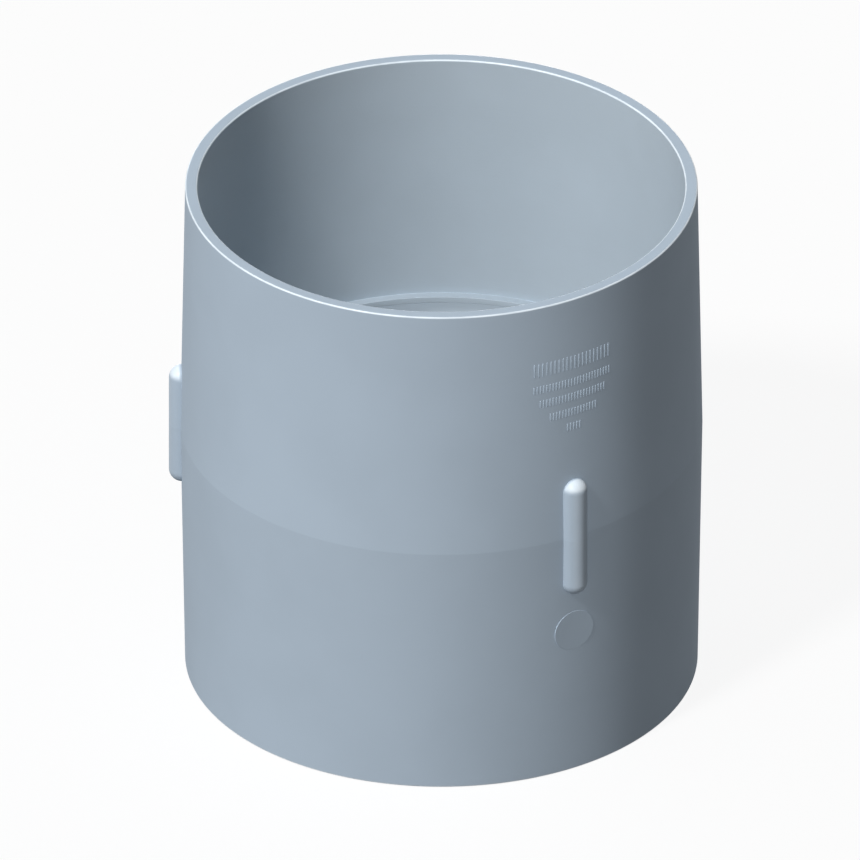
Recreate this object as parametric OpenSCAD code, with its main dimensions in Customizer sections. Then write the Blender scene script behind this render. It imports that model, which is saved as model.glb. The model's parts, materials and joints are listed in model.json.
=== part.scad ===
// Straight pipe coupling with two plain sockets, moulded in one piece.
// It stands on its lower mouth: the origin is on the axis in the plane of that mouth, and +Z points up the axis.
// The first rib and the round pad below it face -Y. Millimetres.

/* [Sockets] */
// Diameter of the parallel stretch that holds the pipe
socket_d = 110.1; // [60:0.1:160]
// Depth of each socket, from its mouth to the stop ring
socket_l = 61.25; // [45:0.25:100]
// Widening of a socket at its mouth, on the diameter
lead_w = 0.3; // [0.1:0.1:2]
// Length over which the mouth narrows to the parallel stretch
lead_l = 10; // [2:1:40]

/* [Stop ring] */
// Height of the ring between the sockets, above their wall
stop_h = 2.05; // [1:0.05:8]
// Thickness of the ring, along the axis
stop_t = 1.5; // [1:0.25:6]

/* [Outside] */
// Thickness of the wall at each mouth
wall_t = 2.8; // [2:0.1:6]
// Slope of the outside, which swells from both mouths to a crease at mid-length, in degrees
draft = 1; // [0.25:0.25:3]
// Radius of the rounded edges of both mouths, outside and inside
edge_r = 0.4; // [0.1:0.1:0.9]

/* [Ribs] */
// Number of short upright ribs around the middle
rib_count = 3; // [1:1:6]
// Diameter of the round that a rib is part of
rib_d = 6; // [5:0.5:10]
// Length of a rib, with its round ends
rib_l = 30; // [12:1:38]
// Height of a rib above the crease
rib_h = 2.6; // [1:0.1:3]

/* [Round pad] */
// Diameter of the flat pad below the first rib
pad_d = 10; // [4:0.5:16]
// Height of the pad's face above the wall at its centre
pad_h = 0.05; // [0.05:0.05:1]
// Gap between the rib's lower end and the pad
pad_gap = 5; // [1:0.5:10]

/* [Hidden] */

// Segments to a full turn, around the axis and on the small rounds
$fn = 160;
small_fn = 40;

length = 2 * socket_l + stop_t;
middle = length / 2;
socket_r = socket_d / 2;
mouth_r = socket_r + lead_w / 2;
end_r = mouth_r + wall_t;
stop_r = socket_r - stop_h;
crease_r = end_r + middle * tan(draft);
lead_slope = atan((mouth_r - socket_r) / lead_l);

// Ribs and pad grow out of a seat halfway through the wall, so they never reach a socket
seat_r = mouth_r + wall_t / 2;

// Distance from mid-length down to the pad's centre
pad_drop = rib_l / 2 + pad_gap + pad_d / 2;

// Radius of the outside at a distance above or below mid-length
function outside_r(away) = crease_r - abs(away) * tan(draft);

// Distance from a mouth's corner to the centre of its round, across the wall, beside a sloping face
function inset(slope) = edge_r * (1 - sin(slope)) / cos(slope);

// The sloping lines end this far inside the rounds, so that they cross them cleanly
hair = 0.002;

// Centres of the upper mouth's outer and inner round
outer_round = [end_r - inset(draft), length - edge_r];
inner_round = [mouth_r + inset(lead_slope), length - edge_r];

// Section of the wall above mid-length, from the crease over the mouth and down to the stop ring.
// At each rounded edge the line turns in to the round's centre, so that a disc there completes the corner.
upper_line = [
    [crease_r, middle],
    outer_round + (edge_r - hair) * [cos(draft), sin(draft)],
    outer_round,
    [outer_round.x, length],
    [inner_round.x, length],
    inner_round,
    inner_round + (edge_r - hair) * [-cos(lead_slope), sin(lead_slope)],
    [socket_r, length - lead_l],
    [socket_r, middle + stop_t / 2],
    [stop_r, middle + stop_t / 2]
];

// The same line below mid-length, in the order that closes the section
lower_line = [
    for (i = [len(upper_line) - 1 : -1 : 1]) [upper_line[i].x, length - upper_line[i].y]
];

module wall_section() {
    polygon(concat(upper_line, lower_line));
    for (centre = [outer_round, inner_round], z = [centre.y, length - centre.y])
        translate([centre.x, z]) circle(edge_r, $fn = small_fn);
}

module wall() {
    rotate_extrude() wall_section();
}

// Half section of a rib about its own axis: a straight side between two round ends
module rib_section() {
    straight = rib_l - rib_d;
    intersection() {
        union() {
            square([rib_d, straight], center = true);
            for (way = [-1, 1]) translate([0, way * straight / 2]) circle(d = rib_d, $fn = small_fn);
        }
        translate([0, -rib_l]) square([rib_d, 2 * rib_l]);
    }
}

// The ribs straddle the crease, evenly spaced, with the first one at -Y
module ribs() {
    axis_r = crease_r + rib_h - rib_d / 2;
    difference() {
        for (i = [0 : rib_count - 1])
            rotate([0, 0, i * 360 / rib_count])
                translate([0, -axis_r, middle])
                    rotate_extrude($fn = small_fn) rib_section();
        cylinder(r = seat_r, h = length);
    }
}

// The pad's face is square to the sloping wall at its centre
module pad() {
    wall_r = outside_r(pad_drop);
    root = wall_r - seat_r;
    translate([0, -wall_r, middle - pad_drop])
        rotate([90 + draft, 0, 0])
            translate([0, 0, -root]) cylinder(d = pad_d, h = root + pad_h);
}

module coupling() {
    color([0.67, 0.72, 0.78]) union() {
        wall();
        ribs();
        pad();
    }
}

coupling();
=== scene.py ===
import json
from math import atan, cos, pi, radians, sin, tan

import bmesh
import bpy
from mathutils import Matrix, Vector

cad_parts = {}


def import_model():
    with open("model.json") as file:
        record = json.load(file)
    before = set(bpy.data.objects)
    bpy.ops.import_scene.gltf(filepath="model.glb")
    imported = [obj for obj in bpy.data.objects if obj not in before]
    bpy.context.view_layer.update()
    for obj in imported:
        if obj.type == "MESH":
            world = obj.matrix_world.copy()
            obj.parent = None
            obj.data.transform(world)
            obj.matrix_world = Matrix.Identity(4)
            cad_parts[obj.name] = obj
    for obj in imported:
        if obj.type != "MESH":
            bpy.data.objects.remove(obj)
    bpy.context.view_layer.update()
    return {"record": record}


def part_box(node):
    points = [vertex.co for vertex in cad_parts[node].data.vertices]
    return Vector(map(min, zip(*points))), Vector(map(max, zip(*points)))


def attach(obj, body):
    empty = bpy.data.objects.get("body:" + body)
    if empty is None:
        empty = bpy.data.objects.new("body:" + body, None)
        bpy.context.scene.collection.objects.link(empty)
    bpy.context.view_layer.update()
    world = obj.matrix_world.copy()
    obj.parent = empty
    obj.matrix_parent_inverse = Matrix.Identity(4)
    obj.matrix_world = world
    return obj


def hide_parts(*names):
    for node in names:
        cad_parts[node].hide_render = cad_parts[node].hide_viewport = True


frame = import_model()

# Points closer than MERGE become one; places closer than SAME count as one
MERGE = 1e-6
SAME = 1e-5

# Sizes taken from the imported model; the crease stays a hair inside its box
low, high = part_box("coupling")
mounts = {mount["name"]: mount for mount in frame["record"]["mounts"]}
upper_socket = mounts["upper_socket"]
LENGTH = high.z - low.z
MIDDLE = LENGTH / 2
HAIR = 1e-6
CREASE_R = high.x - HAIR
RIB_TIP = -low.y
SOCKET_R = upper_socket["dims"]["r_mm"] / 1000
STOP_HALF = upper_socket["pos_m"][2] - MIDDLE
LEAD_START = STOP_HALF + upper_socket["dims"]["length_mm"] / 1000

# Sizes of the wall, in metres
END_R = 0.058
MOUTH_R = 0.0552
STOP_R = 0.053
MOUTH_ROUND = 0.0004
STOP_ROUND = 0.00012
SLOPE = atan((CREASE_R - END_R) / MIDDLE)

# How finely it is divided: around the axis, up the outside, in a socket, and over the rounds
TURN_STEPS = 360
OUTSIDE_CUTS = 30
SOCKET_CUTS = 12
MOUTH_ROUND_STEPS = 6
FINE_ROUND_STEPS = 3

# Ribs
RIB_COUNT = 3
RIB_R = 0.003
RIB_LENGTH = 0.030
RIB_SEGMENTS = 64
RIB_CUTS = 3

# Round pad below the first rib
PAD_R = 0.005
PAD_HEIGHT = 0.00005
PAD_DROP = 0.025
PAD_ROUND = 0.00003
PAD_ROOT = 0.001
PAD_SEGMENTS = 128

# Plain raised bars above the first rib
BAR_WIDTH = 0.00036
BAR_HEIGHT = 0.00013
BAR_ROUND = 0.00007
BAR_ROOT = 0.0005
BAR_CORNER = BAR_WIDTH * 0.4
BAR_ROUND_STEPS = 2

# Rows of bars: middle above mid-length, length of a bar, width of the row, number of bars
BAR_ROWS = [
    (0.0455, 0.0034, 0.0198, 20),
    (0.0404, 0.0020, 0.0201, 26),
    (0.0366, 0.0020, 0.0171, 22),
    (0.0327, 0.0020, 0.0122, 16),
    (0.0289, 0.0020, 0.0036, 5),
]

# Edges that turn by more than this stay sharp
SHARP_ANGLE = radians(35)

# Material, in linear colour
PVC_COLOUR = (0.40, 0.48, 0.565)
# Painted light: the socket bores are paler than the outside, to lift the shade inside the tube
BORE_PAINTED_LIGHT_COLOUR = (0.44, 0.51, 0.57)
# Painted shade: the stop ring's top face is darker, to hold back the light it catches
STOP_PAINTED_SHADE_COLOUR = (0.36, 0.42, 0.475)
# Painted light: a paler band in the bore just below the stop ring, against the ring's shadow
RING_PAINTED_LIGHT_COLOUR = (0.54, 0.62, 0.69)
# Painted highlight: a pale colour on the mouths' rounds and on the ribs' crests and upper ends
PAINTED_HIGHLIGHT_COLOUR = (0.80, 0.88, 0.94)
# Painted shade: the lower half a touch darker and the upper half a touch lighter, as light falls on the two
# slopes
UPPER_HALF_PAINTED_LIGHT = 1.01
LOWER_HALF_PAINTED_SHADE = 0.975
PVC_SPECULAR = 0.25
PVC_ROUGHNESS = 0.8
HIGHLIGHT_ROUGHNESS = 0.35
SPECKLE = 0.05
CLOUDING = 0.02
CLOUD_SCALE = 38
GRAIN_SCALE = 3200
RING_SCALE = 2600
GRAIN_STRENGTH = 0.6
GRAIN_DEPTH = 0.00002
CREASE_BLEND = 0.00001
# Painted light below the stop ring: how far it reaches, and how far it fades
RING_PAINTED_LIGHT_WIDTH = 0.004
RING_PAINTED_LIGHT_FADE = 0.004

# How much painted highlight: on a crest, on an upper end, and the least in a patch
CREST_HIGHLIGHT = 0.15
UPPER_END_HIGHLIGHT = 0.85
LEAST_HIGHLIGHT = 0.75
HIGHLIGHT_PATCH_SCALE = 220

# Camera, as in the photograph
VIEW_AZIMUTH = radians(-30.8)
VIEW_ELEVATION = radians(31.0)
VIEW_WIDTH = 0.1946
VIEW_DISTANCE = 1.0
VIEW_CENTRE_RIGHT = -0.00258
VIEW_CENTRE_UP = -0.00214

# Light
KEY_AZIMUTH = radians(-71)
KEY_ELEVATION = radians(49.5)
KEY_STRENGTH = 3.4
KEY_ANGLE = radians(8)
SHADOW_SHARE = 0.2
BACK_STRENGTH = 1.8
BACK_ANGLE = radians(2)
AMBIENT = 0.185
FLOOR_SHADING = 0.3
FLOOR_SIZE = 6
FLOOR_GAP = 0.0001
FLOOR_COLOUR = (0.9, 0.9, 0.9)
FLOOR_DIM_COLOUR = (0.24, 0.24, 0.24)


# Modelling helpers

def direction(azimuth, elevation):
    """Unit vector towards a place seen at an azimuth, 0 at -Y, and an elevation."""
    return Vector((sin(azimuth) * cos(elevation), -cos(azimuth) * cos(elevation), sin(elevation)))


def wall_radius(away):
    """Radius of the outside at a distance above or below mid-length."""
    return CREASE_R - abs(away) * tan(SLOPE)


def alone(piece):
    """Makes a piece the only one selected, and active."""
    bpy.ops.object.select_all(action="DESELECT")
    piece.select_set(True)
    bpy.context.view_layer.objects.active = piece


def edit(piece):
    alone(piece)
    bpy.ops.object.mode_set(mode="EDIT")


def done():
    bpy.ops.object.mode_set(mode="OBJECT")


def pick(piece, kind, chosen):
    """In edit mode, selects the points, edges or faces all of whose points are chosen."""
    bpy.ops.mesh.select_mode(type=kind)
    bpy.ops.mesh.select_all(action="DESELECT")
    mesh = bmesh.from_edit_mesh(piece.data)
    parts = {"VERT": mesh.verts, "EDGE": mesh.edges, "FACE": mesh.faces}[kind]
    for part in parts:
        points = [part] if kind == "VERT" else part.verts
        part.select_set(all(chosen(point.co) for point in points))
    bmesh.update_edit_mesh(piece.data)


def near(a, b):
    return abs(a - b) < SAME


def on_circle(radius, height):
    """A rule that chooses the points of one circle around the axis."""
    return lambda co: near(co.xy.length, radius) and near(co.z, height)


def modify(piece, kind, **settings):
    """Adds a modifier to a piece and applies it."""
    alone(piece)
    modifier = piece.modifiers.new(kind.title(), kind)
    for name, value in settings.items():
        setattr(modifier, name, value)
    bpy.ops.object.modifier_apply(modifier=modifier.name)


def place(piece, location=(0, 0, 0), rotation=(0, 0, 0)):
    """Moves and turns a piece, and puts its place into its mesh."""
    alone(piece)
    piece.location = location
    piece.rotation_euler = rotation
    bpy.ops.object.transform_apply(location=True, rotation=True, scale=True)


def copy_of(piece):
    alone(piece)
    bpy.ops.object.duplicate(linked=False)
    return bpy.context.object


def join(pieces):
    bpy.ops.object.select_all(action="DESELECT")
    for piece in pieces:
        piece.select_set(True)
    bpy.context.view_layer.objects.active = pieces[0]
    bpy.ops.object.join()
    return pieces[0]


# Wall

def wall():
    """The upper half's section is drawn from the crease to the stop ring, spun, and mirrored."""
    section = [
        (CREASE_R, 0),
        (END_R, MIDDLE),
        (MOUTH_R, MIDDLE),
        (SOCKET_R, LEAD_START),
        (SOCKET_R, STOP_HALF),
        (STOP_R, STOP_HALF),
        (STOP_R, 0),
    ]
    bpy.ops.object.select_all(action="DESELECT")
    bpy.ops.mesh.primitive_plane_add(size=0.01)
    piece = bpy.context.object
    piece.name = "coupling_wall"
    edit(piece)
    bpy.ops.mesh.merge(type="CENTER")
    bpy.ops.transform.translate(value=(section[0][0], 0, section[0][1]))
    for (r, z), (next_r, next_z) in zip(section, section[1:]):
        bpy.ops.mesh.extrude_region_move(TRANSFORM_OT_translate={"value": (next_r - r, 0, next_z - z)})

    # Rows of about 2 mm outside and 4 mm inside
    pick(piece, "EDGE", lambda co: co.x > END_R - SAME)
    bpy.ops.mesh.subdivide(number_cuts=OUTSIDE_CUTS)
    pick(piece, "EDGE", lambda co: near(co.x, SOCKET_R) and co.z < LEAD_START + SAME)
    bpy.ops.mesh.subdivide(number_cuts=SOCKET_CUTS)

    bpy.ops.mesh.select_all(action="SELECT")
    bpy.ops.mesh.spin(steps=TURN_STEPS, angle=2 * pi, center=(0, 0, 0), axis=(0, 0, 1))
    bpy.ops.mesh.select_all(action="SELECT")
    bpy.ops.mesh.remove_doubles(threshold=MERGE)

    for radius in (END_R, MOUTH_R):
        pick(piece, "EDGE", on_circle(radius, MIDDLE))
        bpy.ops.mesh.bevel(offset=MOUTH_ROUND, segments=MOUTH_ROUND_STEPS)
    pick(piece, "EDGE", on_circle(STOP_R, STOP_HALF))
    bpy.ops.mesh.bevel(offset=STOP_ROUND, segments=FINE_ROUND_STEPS)
    done()

    modify(piece, "MIRROR", use_axis=(False, False, True), merge_threshold=MERGE)
    edit(piece)
    bpy.ops.mesh.select_all(action="SELECT")
    bpy.ops.mesh.normals_make_consistent(inside=False)
    done()
    place(piece, location=(0, 0, MIDDLE))
    return piece


# Ribs

def ribs():
    """Half a ball is drawn down to half the rib's length and mirrored; the others are turned copies."""
    half_straight = RIB_LENGTH / 2 - RIB_R
    bpy.ops.object.select_all(action="DESELECT")
    bpy.ops.mesh.primitive_uv_sphere_add(
        segments=RIB_SEGMENTS, ring_count=RIB_SEGMENTS // 2, radius=RIB_R
    )
    rib = bpy.context.object
    rib.name = "rib"
    edit(rib)
    bpy.ops.mesh.select_all(action="SELECT")
    bpy.ops.transform.translate(value=(0, 0, half_straight))
    bpy.ops.mesh.select_all(action="SELECT")
    bpy.ops.mesh.bisect(
        plane_co=(0, 0, half_straight), plane_no=(0, 0, 1), clear_inner=True, threshold=MERGE
    )
    pick(rib, "EDGE", lambda co: near(co.z, half_straight))
    for cut in range(RIB_CUTS):
        bpy.ops.mesh.extrude_region_move(TRANSFORM_OT_translate={"value": (0, 0, -half_straight / RIB_CUTS)})
    done()
    modify(rib, "MIRROR", use_axis=(False, False, True), merge_threshold=MERGE)
    edit(rib)
    bpy.ops.mesh.select_all(action="SELECT")
    bpy.ops.mesh.normals_make_consistent(inside=False)
    done()
    place(rib, location=(0, -(RIB_TIP - RIB_R), MIDDLE))

    copies = [copy_of(rib) for i in range(1, RIB_COUNT)]
    for i, piece in enumerate(copies, start=1):
        place(piece, rotation=(0, 0, i * 2 * pi / RIB_COUNT))
    return join([rib] + copies)


# Pad and bars

def stand_on_wall(piece, away):
    """Sets a piece that faces up square on the sloping wall at -Y, away from mid-length."""
    lean = SLOPE if away < 0 else -SLOPE
    place(piece, location=(0, -wall_radius(away), MIDDLE + away), rotation=(pi / 2 + lean, 0, 0))
    return piece


def pad():
    """A disc with its edge finely rounded and a root below, square to the wall."""
    bpy.ops.object.select_all(action="DESELECT")
    bpy.ops.mesh.primitive_cylinder_add(
        vertices=PAD_SEGMENTS, radius=PAD_R, depth=PAD_HEIGHT + PAD_ROOT
    )
    piece = bpy.context.object
    piece.name = "pad"
    top = (PAD_HEIGHT + PAD_ROOT) / 2
    edit(piece)
    pick(piece, "EDGE", lambda co: near(co.z, top))
    bpy.ops.mesh.bevel(offset=PAD_ROUND, segments=FINE_ROUND_STEPS)
    bpy.ops.mesh.select_all(action="SELECT")
    bpy.ops.transform.translate(value=(0, 0, PAD_HEIGHT - top))
    done()
    return stand_on_wall(piece, -PAD_DROP)


def bar(length):
    """A small block with its free edges rounded, lying along Y with its face up and a root below."""
    bpy.ops.object.select_all(action="DESELECT")
    bpy.ops.mesh.primitive_cube_add(size=1)
    piece = bpy.context.object
    piece.name = "bar"
    depth = BAR_HEIGHT + BAR_ROOT
    edit(piece)
    bpy.ops.mesh.select_all(action="SELECT")
    bpy.ops.transform.resize(value=(BAR_WIDTH, length, depth))
    bpy.ops.transform.translate(value=(0, 0, BAR_HEIGHT - depth / 2))
    pick(piece, "EDGE", lambda co: near(abs(co.x), BAR_WIDTH / 2) and near(abs(co.y), length / 2))
    bpy.ops.mesh.bevel(offset=BAR_CORNER, segments=FINE_ROUND_STEPS)
    pick(piece, "EDGE", lambda co: near(co.z, BAR_HEIGHT))
    bpy.ops.mesh.bevel(offset=BAR_ROUND, segments=BAR_ROUND_STEPS)
    done()
    return piece


def bar_rows():
    """Each row is copies of one bar, spread evenly over the row's width."""
    bars = []
    for away, length, width, count in BAR_ROWS:
        first = stand_on_wall(bar(length), away)
        spread = (width - BAR_WIDTH) / wall_radius(away)
        for i in range(count):
            piece = copy_of(first)
            place(piece, rotation=(0, 0, spread * (i / (count - 1) - 0.5)))
            bars.append(piece)
        bpy.data.objects.remove(first)
    return join(bars)


def coupling():
    """The wall with everything that stands on it made one closed mesh."""
    body = wall()
    raised = join([ribs(), pad(), bar_rows()])
    modify(body, "BOOLEAN", object=raised, operation="UNION", solver="EXACT")
    bpy.data.objects.remove(raised)
    body.name = "coupling_body"
    body.data.name = "coupling_body"

    edit(body)
    pick(body, "EDGE", on_circle(CREASE_R, MIDDLE))
    bpy.ops.mesh.mark_sharp()
    done()
    alone(body)
    bpy.ops.object.shade_smooth_by_angle(angle=SHARP_ANGLE, keep_sharp_edges=True)
    modify(body, "WEIGHTED_NORMAL", keep_sharp=True, weight=50)
    return body


# Material helpers

def feed(tree, socket, value):
    """Gives an input a plain value, or links another node's output to it."""
    if isinstance(value, bpy.types.NodeSocket):
        tree.links.new(value, socket)
    else:
        socket.default_value = value


def node(tree, kind, settings=None, **inputs):
    """Adds a node with its settings and its inputs, where an underscore stands for a space."""
    made = tree.nodes.new(kind)
    for name, value in (settings or {}).items():
        setattr(made, name, value)
    for name, value in inputs.items():
        feed(tree, made.inputs[name.replace("_", " ")], value)
    return made


def maths(tree, operation, *values):
    step = tree.nodes.new("ShaderNodeMath")
    step.operation = operation
    for socket, value in zip(step.inputs, values):
        feed(tree, socket, value)
    return step.outputs[0]


def ramp(tree, value, start, end, first=0, last=1):
    """Goes smoothly from first to last while the value goes from start to end."""
    step = node(
        tree, "ShaderNodeMapRange", {"interpolation_type": "SMOOTHSTEP"},
        Value=value, From_Min=start, From_Max=end, To_Min=first, To_Max=last
    )
    return step.outputs["Result"]


def mix(tree, share, first, second):
    """Mixes two surfaces, with a share of the second."""
    both = tree.nodes.new("ShaderNodeMixShader")
    feed(tree, both.inputs[0], share)
    feed(tree, both.inputs[1], first.outputs[0])
    feed(tree, both.inputs[2], second.outputs[0])
    return both


def blend(tree, share, first, second):
    """Blends two colours, with a share of the second."""
    return node(tree, "ShaderNodeMixRGB", Fac=share, Color1=first, Color2=second).outputs[0]


def noise(tree, spot, scale, detail):
    return node(tree, "ShaderNodeTexNoise", Vector=spot, Scale=scale, Detail=detail).outputs["Fac"]


# Moulded PVC

def painted_highlight_share(tree, spot, radius, height, away):
    """Painted highlight, a pale colour where light would glint, and glossier there: both mouths' rounds, the
    ribs' crests and upper ends.
    """
    at_mouth = ramp(tree, away, MIDDLE - 1.2 * MOUTH_ROUND, MIDDLE - 0.4 * MOUTH_ROUND)
    outer = ramp(tree, radius, END_R - 0.9 * MOUTH_ROUND, END_R - 0.4 * MOUTH_ROUND)
    inner = ramp(tree, radius, MOUTH_R + 0.9 * MOUTH_ROUND, MOUTH_R + 0.4 * MOUTH_ROUND)
    mouth = maths(tree, "MULTIPLY", at_mouth, maths(tree, "MAXIMUM", outer, inner))

    crest = ramp(tree, radius, RIB_TIP - 0.25 * RIB_R, RIB_TIP, last=CREST_HIGHLIGHT)
    end_start = RIB_LENGTH / 2 - RIB_R
    at_end = ramp(tree, away, end_start + 0.1 * RIB_R, end_start + 0.5 * RIB_R)
    stands_out = ramp(tree, radius, RIB_TIP - 0.92 * RIB_R, RIB_TIP - 0.7 * RIB_R)
    upper = ramp(tree, height, MIDDLE - end_start, MIDDLE + end_start, last=UPPER_END_HIGHLIGHT)
    end = maths(tree, "MULTIPLY", maths(tree, "MULTIPLY", at_end, stands_out), upper)
    rib = maths(tree, "MAXIMUM", crest, end)

    patchy = ramp(tree, noise(tree, spot, HIGHLIGHT_PATCH_SCALE, 2), 0.35, 0.6, first=LEAST_HIGHLIGHT)
    return maths(tree, "MULTIPLY", patchy, maths(tree, "MAXIMUM", mouth, rib))


def pvc():
    """Satin grey-blue PVC: faint clouding and grain, turning lines in the sockets, painted highlights on the
    edges, and painted light and shade.
    """
    material = bpy.data.materials.new("pvc_satin")
    material.use_nodes = True
    tree = material.node_tree
    shader = tree.nodes["Principled BSDF"]
    shader.inputs["Specular IOR Level"].default_value = PVC_SPECULAR

    spot = tree.nodes.new("ShaderNodeTexCoord").outputs["Object"]
    height = node(tree, "ShaderNodeSeparateXYZ", Vector=spot).outputs["Z"]
    away = maths(tree, "ABSOLUTE", maths(tree, "SUBTRACT", height, MIDDLE))
    across = node(tree, "ShaderNodeVectorMath", {"operation": "MULTIPLY"})
    feed(tree, across.inputs[0], spot)
    feed(tree, across.inputs[1], (1, 1, 0))
    from_axis = node(tree, "ShaderNodeVectorMath", {"operation": "LENGTH"}, Vector=across.outputs[0])
    radius = from_axis.outputs["Value"]
    inside = ramp(tree, radius, MOUTH_R + MOUTH_ROUND, MOUTH_R)
    past_wall = ramp(tree, radius, SOCKET_R - STOP_ROUND, SOCKET_R - 2 * STOP_ROUND)
    before_edge = ramp(tree, radius, STOP_R, STOP_R + STOP_ROUND)
    on_stop = maths(tree, "MULTIPLY", past_wall, before_edge)
    ring_foot = MIDDLE - STOP_HALF
    # A paler band in the bore just below the stop ring: painted light against the ring's shadow and the
    # shade inside
    below_ring = ramp(tree, height, ring_foot, ring_foot - STOP_ROUND)
    not_far = ramp(tree, height, ring_foot - RING_PAINTED_LIGHT_WIDTH - RING_PAINTED_LIGHT_FADE, ring_foot - RING_PAINTED_LIGHT_WIDTH)
    painted_light_under_ring = maths(tree, "MULTIPLY", inside, maths(tree, "MULTIPLY", below_ring, not_far))
    highlight_share = painted_highlight_share(tree, spot, radius, height, away)

    # Colour
    # Painted shade at the crease: the lower half is darkened and the upper half lightened
    half = ramp(tree, height, MIDDLE - CREASE_BLEND, MIDDLE + CREASE_BLEND, LOWER_HALF_PAINTED_SHADE, UPPER_HALF_PAINTED_LIGHT)
    clouds = ramp(tree, noise(tree, spot, CLOUD_SCALE, 3), 0.3, 0.7, 1 - CLOUDING, 1 + CLOUDING)
    tone = maths(tree, "MULTIPLY", clouds, half)
    # The socket bores take a paler colour: painted light against the shade inside
    moulded_with_painted_bore_light = blend(tree, inside, (*PVC_COLOUR, 1), (*BORE_PAINTED_LIGHT_COLOUR, 1))
    with_painted_ring_light = blend(tree, painted_light_under_ring, moulded_with_painted_bore_light, (*RING_PAINTED_LIGHT_COLOUR, 1))
    # The stop ring's top face takes a darker colour: painted shade
    base = blend(tree, on_stop, with_painted_ring_light, (*STOP_PAINTED_SHADE_COLOUR, 1))
    toned = node(tree, "ShaderNodeVectorMath", {"operation": "SCALE"}, Vector=base, Scale=tone)
    # Painted highlight: the pale colour laid on the edges where light would glint
    feed(tree, shader.inputs["Base Color"], blend(tree, highlight_share, toned.outputs[0], (*PAINTED_HIGHLIGHT_COLOUR, 1)))

    # Gloss
    grain = noise(tree, spot, GRAIN_SCALE, 2)
    gloss = ramp(tree, highlight_share, 0, 1, PVC_ROUGHNESS, HIGHLIGHT_ROUGHNESS)
    speckle = ramp(tree, grain, 0.3, 0.7, -SPECKLE, SPECKLE)
    feed(tree, shader.inputs["Roughness"], maths(tree, "ADD", gloss, speckle))

    # Surface
    rings = node(
        tree, "ShaderNodeTexNoise", {"noise_dimensions": "1D"},
        W=height, Scale=RING_SCALE, Detail=2
    )
    turned = maths(tree, "MULTIPLY", inside, rings.outputs["Fac"])
    relief = maths(tree, "ADD", grain, turned)
    bump = node(
        tree, "ShaderNodeBump", Strength=GRAIN_STRENGTH, Distance=GRAIN_DEPTH, Height=relief
    )
    feed(tree, shader.inputs["Normal"], bump.outputs["Normal"])
    return material


# Floor, light and camera

def shows_white(tree):
    """1 for a ray from the camera, from gloss or through glass, which sees the white background."""
    rays = tree.nodes.new("ShaderNodeLightPath").outputs
    in_gloss = maths(tree, "MAXIMUM", rays["Is Camera Ray"], rays["Is Glossy Ray"])
    return maths(tree, "MAXIMUM", in_gloss, rays["Is Transmission Ray"])


def floor():
    """A pale floor: white where it is seen, with a soft shadow, and dimmer as a source of light."""
    bpy.ops.object.select_all(action="DESELECT")
    bpy.ops.mesh.primitive_plane_add(size=FLOOR_SIZE, location=(0, 0, low.z - FLOOR_GAP))
    piece = bpy.context.object
    piece.name = "floor"
    material = bpy.data.materials.new("pale_floor")
    material.use_nodes = True
    tree = material.node_tree
    tree.nodes.remove(tree.nodes["Principled BSDF"])

    white = node(tree, "ShaderNodeEmission", Color=(1, 1, 1, 1), Strength=1)
    shaded = node(tree, "ShaderNodeBsdfDiffuse", Color=(*FLOOR_COLOUR, 1))
    dimmer = node(tree, "ShaderNodeBsdfDiffuse", Color=(*FLOOR_DIM_COLOUR, 1))
    seen = mix(tree, FLOOR_SHADING, white, shaded)
    surface = mix(tree, shows_white(tree), dimmer, seen)
    feed(tree, tree.nodes["Material Output"].inputs["Surface"], surface.outputs[0])
    piece.data.materials.append(material)


def world():
    """Even light from all round, which shows white where it is seen."""
    studio = bpy.data.worlds.new("studio")
    bpy.context.scene.world = studio
    studio.use_nodes = True
    tree = studio.node_tree
    background = tree.nodes["Background"]
    background.inputs["Color"].default_value = (1, 1, 1, 1)
    feed(tree, background.inputs["Strength"], ramp(tree, shows_white(tree), 0, 1, first=AMBIENT))


def lamp(name, azimuth, elevation, strength, angle, shadow):
    """A distant lamp; one that casts no shadow lights every surface that faces it."""
    bpy.ops.object.select_all(action="DESELECT")
    towards = direction(azimuth, elevation)
    bpy.ops.object.light_add(type="SUN", location=towards)
    piece = bpy.context.object
    piece.name = name
    piece.rotation_euler = towards.to_track_quat("Z", "Y").to_euler()
    piece.data.energy = strength
    piece.data.angle = angle
    piece.data.use_shadow = shadow


def lamps():
    """A key from the front left, split so that its shadow is light, and a level fill from behind."""
    shadowless = KEY_STRENGTH * (1 - SHADOW_SHARE)
    lamp("key_light", KEY_AZIMUTH, KEY_ELEVATION, KEY_STRENGTH * SHADOW_SHARE, KEY_ANGLE, True)
    lamp("key_without_shadow", KEY_AZIMUTH, KEY_ELEVATION, shadowless, KEY_ANGLE, False)
    lamp("back_light", VIEW_AZIMUTH + pi, 0, BACK_STRENGTH, BACK_ANGLE, True)


def camera():
    towards = direction(VIEW_AZIMUTH, VIEW_ELEVATION)
    right = Vector((cos(VIEW_AZIMUTH), sin(VIEW_AZIMUTH), 0))
    up = towards.cross(right)
    aim = Vector((0, 0, MIDDLE)) + VIEW_CENTRE_RIGHT * right + VIEW_CENTRE_UP * up
    bpy.ops.object.camera_add(
        location=aim + VIEW_DISTANCE * towards, rotation=(pi / 2 - VIEW_ELEVATION, 0, VIEW_AZIMUTH)
    )
    eye = bpy.context.object
    eye.data.type = "ORTHO"
    eye.data.ortho_scale = VIEW_WIDTH
    bpy.context.scene.camera = eye


body = coupling()
body.data.materials.clear()
body.data.materials.append(pvc())
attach(body, "root")
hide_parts("coupling")

floor()
world()
lamps()
camera()
bpy.context.scene.view_settings.view_transform = "Standard"
